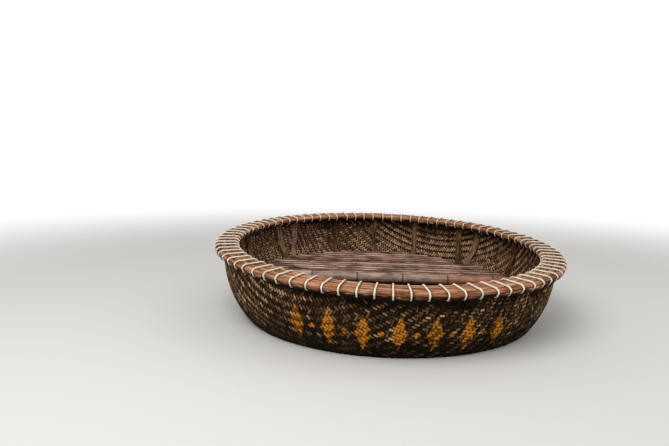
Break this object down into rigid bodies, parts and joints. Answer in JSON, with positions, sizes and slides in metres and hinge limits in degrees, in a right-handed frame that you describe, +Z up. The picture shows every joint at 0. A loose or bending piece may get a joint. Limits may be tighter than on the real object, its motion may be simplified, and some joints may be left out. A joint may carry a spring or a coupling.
{
  "type": "round woven bamboo basket boat",
  "caption": "Round woven bamboo basket boat: a resin-coated mat bowl, a flat-topped split-bamboo rim bound with white cord, bent ribs and a slatted rear bench.",
  "frame": {"origin": "middle of the flat bottom, on the surface that the boat stands on", "axes": "+Z up through the middle of the bowl; the bench lies on the +Y side and its slats and front pole run along X"},
  "size_m": [2.0098, 2.0098, 0.625],
  "materials": {
    "woven_mat": "woven splints under dark worn resin",
    "rim_bamboo": "weathered bamboo, worn pale on top",
    "lashing_cord": "twisted cord, off-white",
    "rib_bamboo": "dark weathered bamboo",
    "bench_slats": "grey-brown weathered bamboo",
    "bench_poles": "brown weathered bamboo culm"
  },
  "bodies": {
    "root": {"hull_mat": "woven_mat", "rim_outer_hoop": "rim_bamboo", "rim_inner_hoop": "rim_bamboo", "rim_top_strip_1": "rim_bamboo", "rim_top_strip_2": "rim_bamboo", "rim_top_strip_3": "rim_bamboo", "rim_top_strip_4": "rim_bamboo", "rim_lashings_1": "lashing_cord", "rim_lashings_2": "lashing_cord", "rim_lashings_3": "lashing_cord", "rim_lashings_4": "lashing_cord", "rib_lengthwise_1": "rib_bamboo", "rib_lengthwise_2": "rib_bamboo", "rib_lengthwise_3": "rib_bamboo", "rib_lengthwise_4": "rib_bamboo", "rib_lengthwise_5": "rib_bamboo", "rib_crosswise_1": "rib_bamboo", "rib_crosswise_2": "rib_bamboo", "rib_crosswise_3": "rib_bamboo", "rib_crosswise_4": "rib_bamboo", "rib_crosswise_5": "rib_bamboo", "bench_front_pole": "bench_poles", "bench_bearer_1": "bench_poles", "bench_bearer_2": "bench_poles", "bench_bearer_3": "bench_poles", "bench_bearer_4": "bench_poles", "bench_bearer_5": "bench_poles", "bench_bearer_6": "bench_poles", "bench_slat_01": "bench_slats", "bench_slat_02": "bench_slats", "bench_slat_03": "bench_slats", "bench_slat_04": "bench_slats", "bench_slat_05": "bench_slats", "bench_slat_06": "bench_slats", "bench_slat_07": "bench_slats", "bench_slat_08": "bench_slats", "bench_slat_09": "bench_slats", "bench_slat_10": "bench_slats", "bench_slat_11": "bench_slats"}
  },
  "joints": []
}
